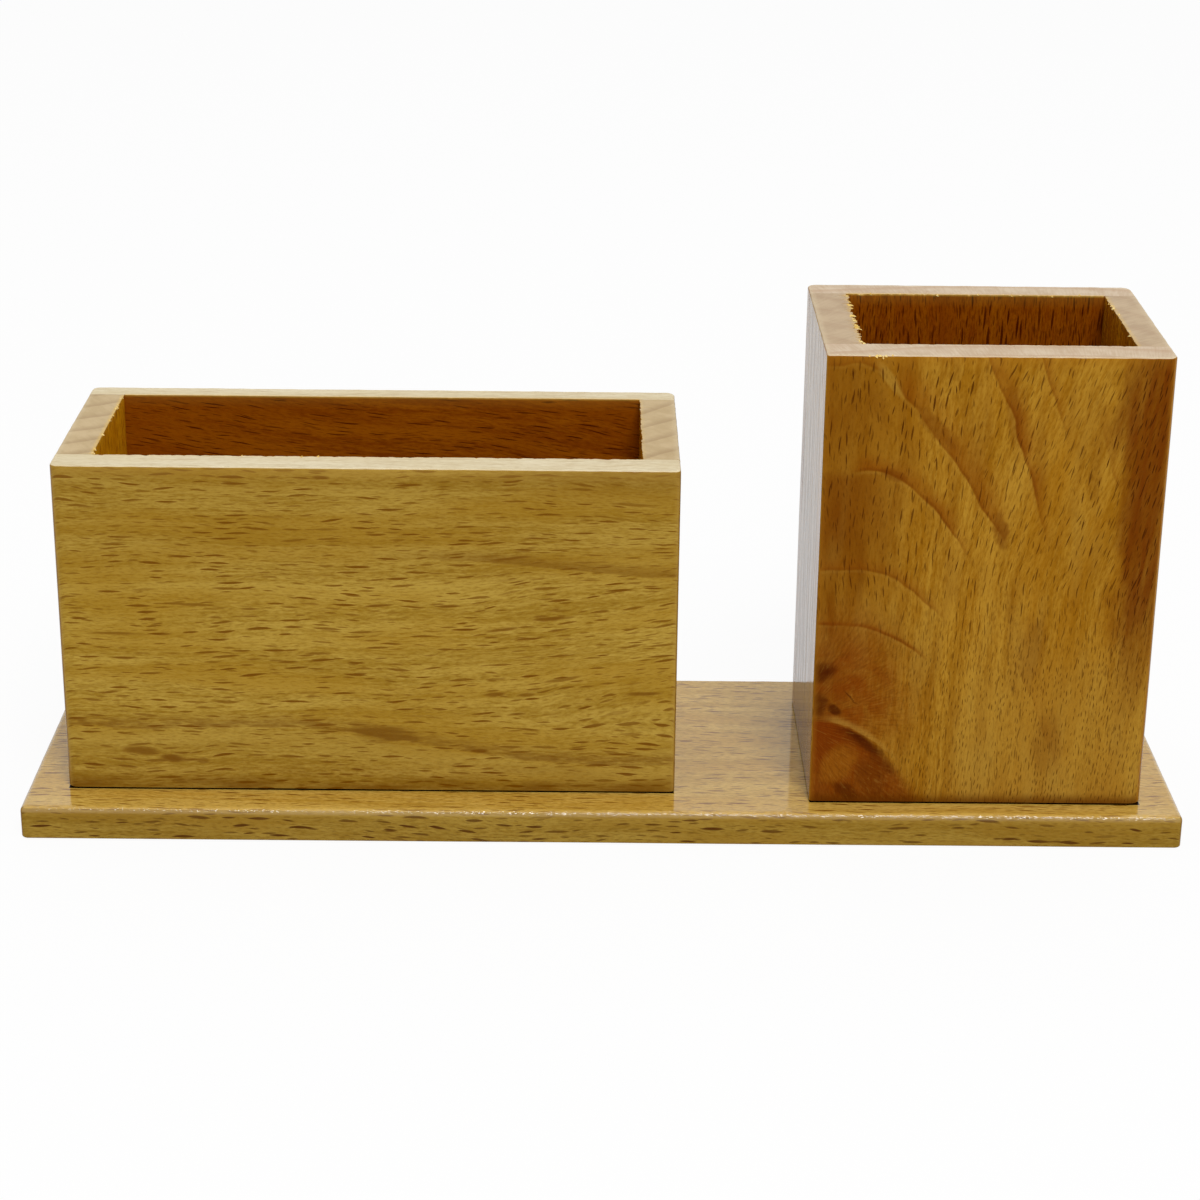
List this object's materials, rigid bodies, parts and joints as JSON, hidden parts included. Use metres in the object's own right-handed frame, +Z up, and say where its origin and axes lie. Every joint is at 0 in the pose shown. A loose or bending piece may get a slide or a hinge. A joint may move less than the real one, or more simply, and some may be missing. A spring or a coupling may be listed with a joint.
{
  "type": "pen stand",
  "caption": "Free-standing wooden desk stand: a flat base board with rounded edges carries a long, low open tray for cards and notes and a tall open cup for pens.",
  "frame": {"origin": "middle of the base board's underside, at the middle of the whole stand's outline", "axes": "+X along the base from the tray to the cup, +Y from the front to the back, +Z up"},
  "size_m": [0.254, 0.076, 0.1095],
  "materials": {
    "base_beech": "beech with a clear gloss lacquer, grain along the length",
    "tray_beech": "beech with a clear gloss lacquer, grain along the length, paler bare rim",
    "cup_beech": "redder beech with a clear gloss lacquer, grain upright, paler end-grain rim",
    "upright_beech": "beech with a clear gloss lacquer, grain upright, paler end-grain rim",
    "zinc_plated_steel": "bright zinc plating"
  },
  "bodies": {
    "root": {"base_board": "base_beech", "tray_front_board": "tray_beech", "tray_back_board": "tray_beech", "tray_left_end": "upright_beech", "tray_right_end": "upright_beech", "cup_front_board": "cup_beech", "cup_back_board": "cup_beech", "cup_left_end": "upright_beech", "cup_right_end": "upright_beech", "tray_left_end_front_screw": "zinc_plated_steel", "tray_left_end_back_screw": "zinc_plated_steel", "tray_right_end_front_screw": "zinc_plated_steel", "tray_right_end_back_screw": "zinc_plated_steel", "cup_left_end_front_screw": "zinc_plated_steel", "cup_left_end_back_screw": "zinc_plated_steel", "cup_right_end_front_screw": "zinc_plated_steel", "cup_right_end_back_screw": "zinc_plated_steel"}
  },
  "joints": []
}
